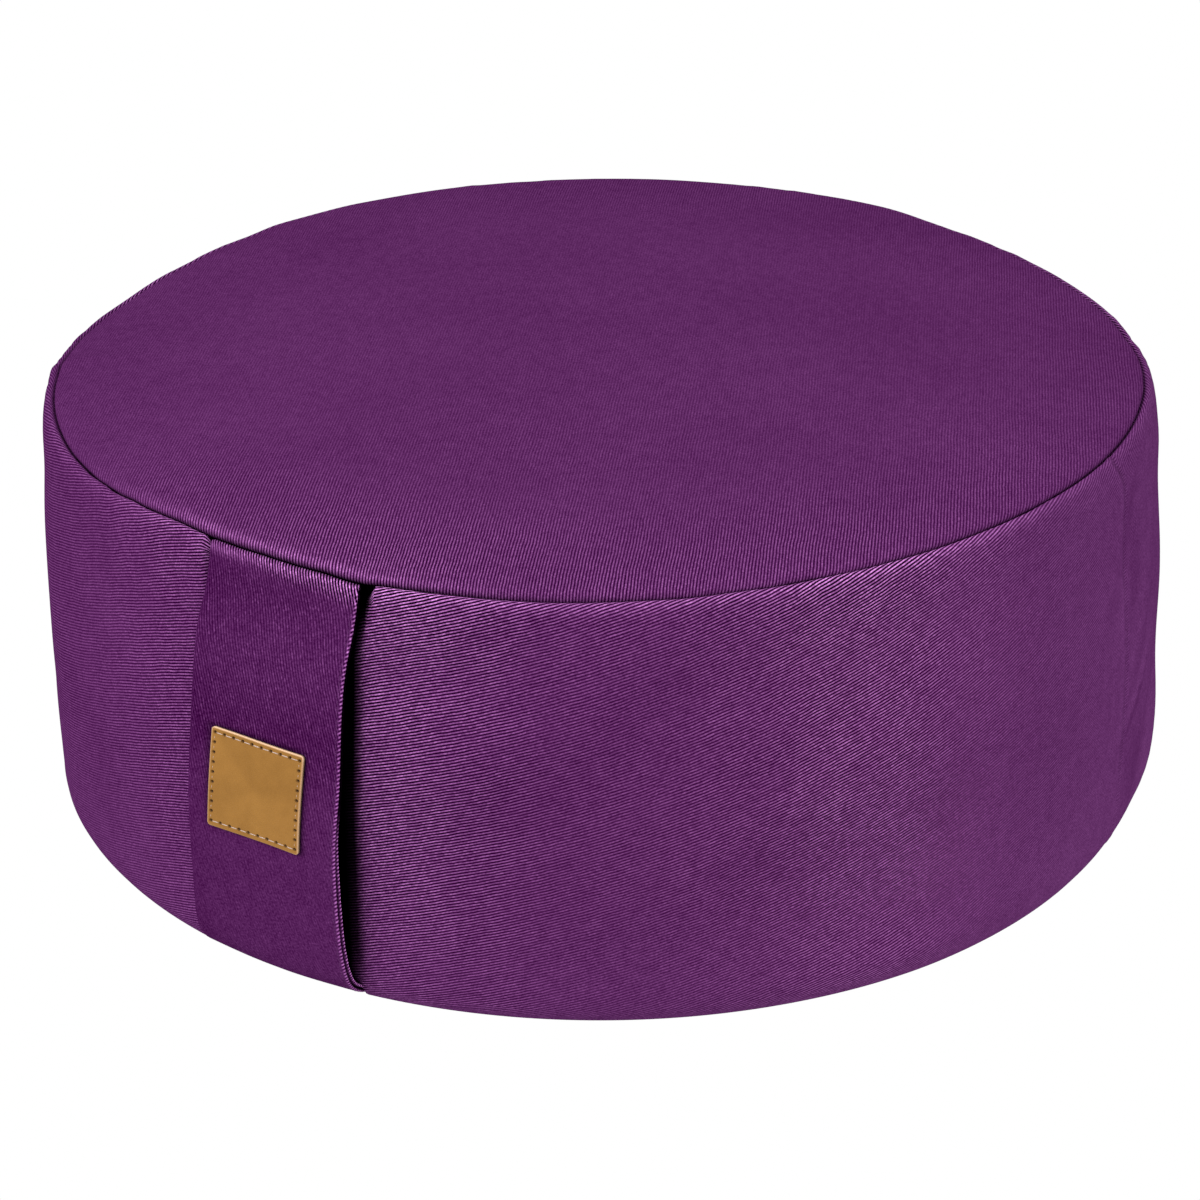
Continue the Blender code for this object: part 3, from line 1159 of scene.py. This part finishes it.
def strap_twill_look(from_right, along):
    """(how plainly the twill lines show, how much lighter or darker it is painted) on the strap.
    """
    left_share = share_to_left(from_right)
    ribs_reach = (RIBS_REACH_MM - RIBS_LESS_MM * left_share) * MM
    at_seam = ease((ribs_reach - along) / (8 * MM))
    upper = ease(1 - (along - 50 * MM) / (60 * MM))
    # Painted highlight on the crest below the seam and on the ribs at the right, painted shade in
    # the hollow under the crest and above the patch; a little darker by the folded left edge.
    crest = hump(along - 7.4 * MM, 1.6 * MM) * (0.4 + 0.6 * left_share)
    hollow = hump(along - 18 * MM, 9 * MM) * ease(left_share * 1.6)
    above_patch = patch_middle_along - PATCH_SIDE / 2 * PATCH_SQUASH - along
    tint = 0.012 + 0.18 * crest + 0.03 * at_seam * (1 - left_share) - 0.03 * hollow
    tint -= 0.015 * ease((left_share - 0.8) * 5)
    tint -= 0.045 * hump(above_patch - 2 * MM, 12 * MM)
    return LOW_SHOWS + UPPER_SHOWS * upper + RIBS_SHOW * at_seam, tint


def painted_strap_shade(from_right, along, out_mm):
    """Painted shade on the strap: by the seam, round the patch, in the slit and behind the slit.
    """
    seam_reach = (SEAM_SHADE_REACH_MM - SEAM_SHADE_LESS_MM * share_to_left(from_right)) * MM
    by_seam = 1 - ease((along - seam_reach) / (2.4 * MM))
    from_patch = patch_distance(from_right + STRAP_HALF_WIDTH, along)
    round_patch = 0.5 * (1 - ease((from_patch + 0.3 * MM) / (2.2 * MM)))
    open_low = ease((along - 78 * MM) / (16 * MM))
    at_edge = ease((from_right / MM + 3.4) / 0.6)
    in_slit = hump(out_mm - SLIT_MIDDLE_OUT, 0.12) * at_edge
    behind = ease((-out_mm - 0.7) / 0.3) * at_edge * (1 - open_low)
    return max(by_seam, round_patch, in_slit, 0.97 * behind)


def strap_bead_highlights(from_right, along, out_mm, shade):
    """How strong the painted highlights on the beads of the turned-in edges are."""
    beads = ease((from_right / MM + 0.9) / 0.4) * (1 - shade)
    beads *= 1 - hump(out_mm - SLIT_MIDDLE_OUT, 0.35)
    return beads * ease((along - 6 * MM) / (6 * MM)) * (
        1 + 0.8 * ease((SLIT_LOWER_EDGE - out_mm) / 0.3)
    )


def patch_distance(across, along):
    """How far a place on the strap lies from the patch's outline."""
    aside = abs(across - PATCH_SHIFT) - PATCH_SIDE / 2
    above = abs(along - patch_middle_along) - PATCH_SIDE / 2 * PATCH_SQUASH
    return math.hypot(max(aside, 0), max(above, 0))


STRAP_SECTION_SPACING = 1.6 * MM
NEAR_EDGE = 8 * MM
ROPE_FROM_EDGE = 1.2 * MM
ROPE_TWIST = 0.9 * MM
ROPE_BULGE = 0.16 * MM
THIN_AT_SEAM = 0.55
THIN_OVER = 12 * MM
STITCH_DENT = 0.3 * MM


def strap_mesh():
    section = smooth_path(STRAP_SECTION, STRAP_SECTION_SPACING)
    bm = bmesh.new()
    loop_layer = bm.verts.layers.float.new("round_tape")
    verts = []
    distance = 0.0
    for number, (from_right, out) in enumerate(section):
        if number:
            distance += math.dist(section[number - 1], section[number]) * MM
        vert = bm.verts.new((from_right * MM, 0, out * MM))
        vert[loop_layer] = distance
        verts.append(vert)
    edges = [bm.edges.new(pair) for pair in zip(verts, verts[1:])]
    rows = round(strap_path.length / STRAP_STEP)
    bmesh.ops.spin(
        bm, geom=verts + edges, cent=(0, 0, 0), axis=(0, 0, 1),
        dvec=(0, strap_path.length / rows, 0), angle=0, steps=rows,
    )
    uv_layer = bm.loops.layers.uv.new("cloth")
    for face in bm.faces:
        for loop in face.loops:
            along = loop.vert.co.y
            loop[uv_layer].uv = thread_coordinates(
                loop.vert[loop_layer], -along, STRAP_TWILL_ANGLE
            )
    bmesh.ops.remove_doubles(bm, verts=bm.verts, dist=1e-6)
    ends = [edge for edge in bm.edges if edge.is_boundary]
    bmesh.ops.holes_fill(bm, edges=ends, sides=0)
    bmesh.ops.recalc_face_normals(bm, faces=bm.faces)
    looks = [
        bm.verts.layers.float.new(name)
        for name in ("twill_shows", "tint", "shade", "lip", "along")
    ]
    for vert in bm.verts:
        from_right, along, out = vert.co
        left, right = strap_path.place(along)[2]
        share = (from_right + 2 * STRAP_HALF_WIDTH) / (2 * STRAP_HALF_WIDTH)
        across = left + (right - left) * share
        near_edge = ease(1 + from_right / NEAR_EDGE)
        lower = ease((-out - 1.0 * MM) / (0.16 * MM))
        show, tint = strap_twill_look(from_right, along)
        shade = painted_strap_shade(from_right, along, out / MM)
        beads = strap_bead_highlights(from_right, along, out / MM, shade)
        for layer, look in zip(looks, (show, tint, shade, beads, along)):
            vert[layer] = look
        rope = noise.noise(Vector((along / ROPE_TWIST, share * 3, lower * 5)))
        thin = THIN_AT_SEAM + (1 - THIN_AT_SEAM) * ease(along / THIN_OVER)
        out = out * thin - slit(along) * near_edge * lower
        if from_right > -ROPE_FROM_EDGE:
            across += ROPE_BULGE * rope
        hole = hump((along % STITCH_PITCH) - STITCH_PITCH / 2, 0.45 * MM)
        out -= STITCH_DENT * hole * hump(from_right + STITCH_IN, 0.5 * MM) * (1 - lower)
        point = strap_path.bend(across, along, out + strap_wave(across, along))
        vert.co = settle_point(point)
    return finished_mesh("folded_strap", bm)


def edge_bead_highlights(finish):
    """Painted highlights on the floats that wrap round the turned-in edges, slanted like a rope.
    """
    along = finish.attribute("along")
    round_edge = finish.attribute("round_tape")
    turns = (along / BEAD_PITCH + round_edge / BEAD_SLANT) * math.tau
    uneven = finish.noise(finish.node("CombineXYZ", (along * 420, 0.0, 0.0)), 1.0)
    bead = (turns.math("SINE") * 0.5 + 0.5).smooth(0.25, 0.9)
    return finish.attribute("lip") * (bead * (0.16 + uneven * 0.55) - 0.04)


def strap_place(across, along, outward):
    """A place on the strap as it has settled."""
    return settle_point(strap_path.bend(across, along, outward + strap_wave(across, along)))


def add_stitch(bm, start, end, radius):
    """One stitch of thread, a slim rounded body from hole to hole."""
    direction = end - start
    turn = direction.to_track_quat("Z", "Y").to_matrix().to_4x4()
    size = Matrix.Diagonal((radius, radius, direction.length / 2, 1))
    matrix = Matrix.Translation((start + end) / 2) @ turn @ size
    bmesh.ops.create_uvsphere(bm, u_segments=8, v_segments=6, radius=1, matrix=matrix)


def strap_stitches():
    """One row of topstitching along the right edge, from seam to seam."""
    bm = bmesh.new()
    for number in range(5, int(strap_path.length / STITCH_PITCH) - 2):
        middle = number * STITCH_PITCH
        across = strap_path.place(middle)[2].y - STITCH_IN
        start, end = (
            strap_place(across + side * STITCH_SLANT, middle + side * STITCH_LENGTH, -STITCH_SUNK)
            for side in (-0.5, 0.5)
        )
        add_stitch(bm, start, end, STITCH_RADIUS)
    return finished_mesh("strap_topstitching", bm)


def thread_finish(name, dark, light, twist):
    """Sewing thread: slanted strands, as its ply is twisted."""
    finish = Finish(name, roughness=0.7, specular=0.1)
    place = finish.node("TexCoord", output=3)
    x, y, z = finish.split(place)
    strand = ((x + z) * (math.tau / twist)).math("SINE") * 0.5 + 0.5
    share = strand * 0.7 + finish.noise(place, 900) * 0.3
    finish.set(
        Base_Color=finish.mix(share, dark, light),
        Normal=finish.bump(strand, 0.05 * MM),
    )
    return finish.material


strap = strap_mesh()
strap.data.materials.append(
    dyed_twill(
        "purple_tape", 1.0 * MM, 1.1 * MM,
        level=STRAP_LEVEL, grain=0.36, flecks=0.35, edging=edge_bead_highlights,
    )
)
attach(strap, "root")
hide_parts("carry_strap")

strap_thread = strap_stitches()
strap_thread.data.materials.append(
    thread_finish("purple_thread", dyed(0.22), dyed(0.48), 0.5 * MM)
)
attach(strap_thread, "root")


# ---- Leather patch ---------------------------------------------------------------------------
# A square of tan leather with a burnished face and a pale cut edge, left plain. It is sewn to
# the strap through punched holes with pale grey thread.
HOLES_PER_SIDE = 9
HOLES_REACH = (16.5 * MM, 16.0 * MM)
HOLE_RADIUS = 0.5 * MM
HOLE_DEPTH = 0.9 * MM
HOLES_WITHIN = 3.2 * MM
RIM_ROUNDING = 0.12 * MM
RIM_ROUNDED_OVER = 0.3 * MM
CUT_EDGE_WIDTH = 0.5 * MM
THREAD_PRESS = 0.05 * MM
THREAD_PRESS_IN = 1.6 * MM
THREAD_PRESS_HALF_WIDTH = 0.6 * MM

LEATHER_DARK = (0.212, 0.096, 0.018)
LEATHER_LIGHT = (0.305, 0.145, 0.031)
CUT_EDGE = (0.84, 0.56, 0.36)
# Painted shade for the punched holes and the patch's sides.
PAINTED_HOLE_SHADE = (0.006, 0.001, 0.003)
THREAD_DARK = (0.27, 0.19, 0.16)
THREAD_LIGHT = (0.66, 0.53, 0.46)


def patch_holes():
    """Centres of the punched holes, in order round the patch."""
    pitch = 2 / HOLES_PER_SIDE
    side = [Vector((-1 + pitch * number, -1)) for number in range(HOLES_PER_SIDE)]
    turns = [Matrix.Rotation(math.tau * quarter / 4, 2) for quarter in range(4)]
    return [(turn @ hole) * Vector(HOLES_REACH) for turn in turns for hole in side]


def rounded_corner(point):
    """Moves a point of the square so that the square's corners are round."""
    straight = PATCH_SIDE / 2 - PATCH_CORNER
    over_x = abs(point.x) - straight
    over_y = abs(point.y) - straight
    if over_x <= 0 or over_y <= 0:
        return point
    across = over_x / PATCH_CORNER
    up = over_y / PATCH_CORNER
    new_x = straight + over_x * math.sqrt(1 - up * up / 2)
    new_y = straight + over_y * math.sqrt(1 - across * across / 2)
    return Vector((math.copysign(new_x, point.x), math.copysign(new_y, point.y)))


def on_patch(point, outward):
    """A place on the strap for a point of the flat patch."""
    turned = Matrix.Rotation(-PATCH_TURN, 2) @ point
    along = patch_middle_along - turned.y * PATCH_SQUASH
    return strap_place(turned.x + PATCH_SHIFT, along, outward + PATCH_GAP)


def painted_edge_light(x, y):
    """Painted highlight on the pale cut edge: most along the top, then at the right and the left.
    """
    return max(y ** 5, 0.5 * x ** 5, 0.4 * -x ** 5, 0.1)


def patch_mesh():
    holes = patch_holes()
    bm = bmesh.new()
    edge_layer = bm.verts.layers.float.new("cut_edge")
    hole_layer = bm.verts.layers.float.new("hole")
    bmesh.ops.create_grid(
        bm, x_segments=PATCH_CELLS, y_segments=PATCH_CELLS, size=PATCH_SIDE / 2,
    )
    top = bmesh.ops.extrude_face_region(bm, geom=list(bm.faces))
    raised = [v for v in top["geom"] if isinstance(v, bmesh.types.BMVert)]
    bmesh.ops.translate(bm, vec=(0, 0, PATCH_THICKNESS), verts=raised)
    bmesh.ops.recalc_face_normals(bm, faces=bm.faces)
    uv_layer = bm.loops.layers.uv.new("hide")
    for face in bm.faces:
        for loop in face.loops:
            loop[uv_layer].uv = loop.vert.co.xy
    half = PATCH_SIDE / 2
    for vert in bm.verts:
        flat = vert.co.xy
        inside = half - max(abs(flat.x), abs(flat.y))
        outward = vert.co.z
        # The cut edge's own pale colour, with its painted highlight.
        vert[edge_layer] = (1 - ease(inside / CUT_EDGE_WIDTH)) * painted_edge_light(*flat / half)
        # Painted shade: in the punched holes, and on the underside, from which it fades up the
        # sides.
        if outward:
            outward -= RIM_ROUNDING * (1 - min(inside / RIM_ROUNDED_OVER, 1)) ** 2
            outward -= THREAD_PRESS * hump(inside - THREAD_PRESS_IN, THREAD_PRESS_HALF_WIDTH)
            if inside < HOLES_WITHIN:
                nearest = min((flat - hole).length for hole in holes)
                depth = 1 - ease((nearest - HOLE_RADIUS * 0.7) / (HOLE_RADIUS * 0.6))
                outward -= HOLE_DEPTH * depth
                vert[hole_layer] = depth
        else:
            vert[hole_layer] = 1.0
        vert.co = on_patch(rounded_corner(flat), outward)
    return finished_mesh("sewn_leather_patch", bm)


def leather_finish():
    """Smooth tan leather with fine pores, with painted shade in its holes and down its sides."""
    finish = Finish("tan_leather", roughness=0.5, specular=0.12)
    uv = finish.node("UVMap", uv_map="hide")
    cut_edge = finish.attribute("cut_edge")
    hole = finish.attribute("hole")
    pores = finish.node(
        "TexVoronoi", {"Vector": uv, "Scale": 1500.0}, feature="DISTANCE_TO_EDGE"
    )
    cells = pores.smooth(0.0, 0.25)
    cloudy = finish.noise(uv, 140, detail=4, roughness=0.6)
    fine = finish.noise(uv, 2600, detail=2)
    broad = finish.noise(uv, 45, detail=2)
    share = broad * 0.5 + cloudy * 0.35 + fine * 0.1 + cells * 0.05
    face = finish.mix(share.smooth(0.25, 0.75), LEATHER_DARK, LEATHER_LIGHT)
    edged = finish.mix(cut_edge, face, CUT_EDGE)
    finish.set(
        Base_Color=finish.mix(hole, edged, PAINTED_HOLE_SHADE),
        Roughness=0.42 + cloudy * 0.2,
        Normal=finish.bump(cells * 0.5 + fine * 0.5, 0.04 * MM),
    )
    return finish.material


def patch_stitches():
    """A running stitch: pale dashes along the top and bottom, thin buried ones at the sides."""
    holes = patch_holes()
    bm = bmesh.new()
    for number, hole in enumerate(holes):
        following = holes[(number + 1) % len(holes)]
        on_side = (number // HOLES_PER_SIDE) % 2 == 1
        inset = 0.36 if on_side else 0.15
        start = hole.lerp(following, inset)
        end = hole.lerp(following, 1 - inset)
        lift = PATCH_THICKNESS - (0.08 if on_side else 0.04) * MM
        radius = (0.10 if on_side else 0.19) * MM
        add_stitch(bm, on_patch(start, lift), on_patch(end, lift), radius)
    return finished_mesh("patch_stitching", bm)


patch = patch_mesh()
patch.data.materials.append(leather_finish())
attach(patch, "root")
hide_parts("leather_patch")

patch_thread = patch_stitches()
patch_thread.data.materials.append(
    thread_finish("grey_thread", THREAD_DARK, THREAD_LIGHT, 0.6 * MM)
)
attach(patch_thread, "root")


# ---- Floor and light -------------------------------------------------------------------------
# A plain white floor under an even, soft light, so that nothing but the cushion shows.
FLOOR_HALF = 6.0
WHITE = (1.0, 1.0, 1.0)
DAYLIGHT = 0.95
bm = bmesh.new()
bmesh.ops.create_grid(bm, x_segments=1, y_segments=1, size=FLOOR_HALF)
floor = finished_mesh("floor", bm)
floor_finish = Finish("white_floor", roughness=0.9, specular=0.0)
floor_finish.set(Base_Color=BLACK, Emission_Color=WHITE, Emission_Strength=1.0)
floor.data.materials.append(floor_finish.material)

world = bpy.data.worlds.new("studio")
world.use_nodes = True
sky = world.node_tree.nodes["Background"].inputs
sky["Color"].default_value = (*WHITE, 1)
sky["Strength"].default_value = DAYLIGHT
bpy.context.scene.world = world

Lamp = namedtuple("Lamp", "name azimuth elevation distance side watts")
LAMPS = (
    Lamp("key", -12, 38, 2.2, 0.8, 26),
    Lamp("fill", 95, 40, 2.4, 1.2, 12),
)
for lamp in LAMPS:
    light = bpy.data.lights.new(lamp.name, "AREA")
    light.size = lamp.side
    light.energy = lamp.watts
    shining = bpy.data.objects.new(lamp.name, light)
    azimuth = math.radians(lamp.azimuth)
    elevation = math.radians(lamp.elevation)
    out = Vector((math.sin(azimuth), -math.cos(azimuth), 0)) * math.cos(elevation)
    out.z = math.sin(elevation)
    shining.location = out * lamp.distance
    shining.rotation_euler = out.to_track_quat("Z", "Y").to_euler()
    bpy.context.scene.collection.objects.link(shining)

bpy.context.scene.view_settings.view_transform = "Standard"
